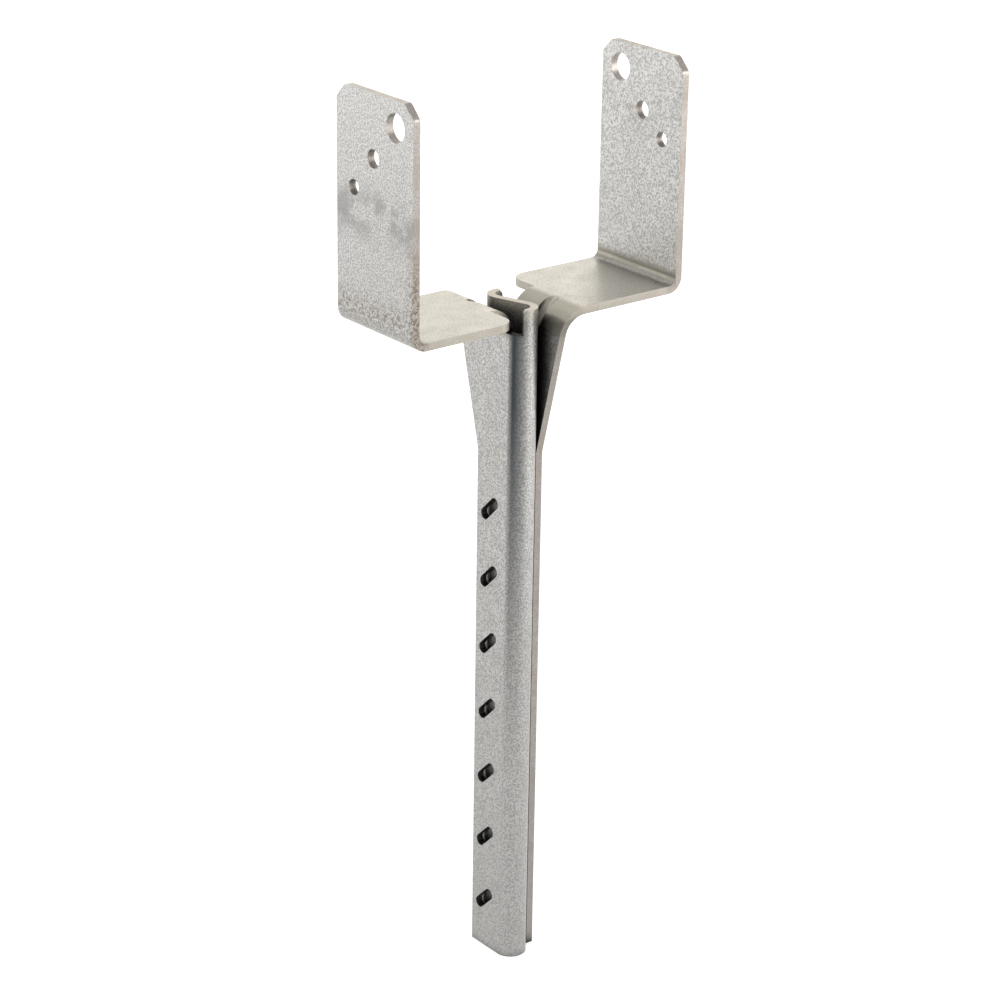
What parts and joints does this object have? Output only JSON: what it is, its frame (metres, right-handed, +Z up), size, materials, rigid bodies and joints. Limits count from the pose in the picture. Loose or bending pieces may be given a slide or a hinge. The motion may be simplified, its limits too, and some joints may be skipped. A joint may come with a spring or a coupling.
{
  "type": "timber post base",
  "caption": "One-piece folded steel post base: a slotted S-section stem for casting into concrete, with two saddle plates and two drilled uprights that clasp a timber post.",
  "frame": {"origin": "centre of the stem's foot, which is the bottom centre of the whole part", "axes": "+Z up along the stem to the uprights, X across the post from upright to upright, Y along the width of the uprights"},
  "size_m": [0.105, 0.038, 0.298],
  "materials": {
    "galvanised_steel": "hot-dip galvanised, satin, fine grain"
  },
  "bodies": {
    "root": {"post_base": "galvanised_steel"}
  },
  "joints": []
}
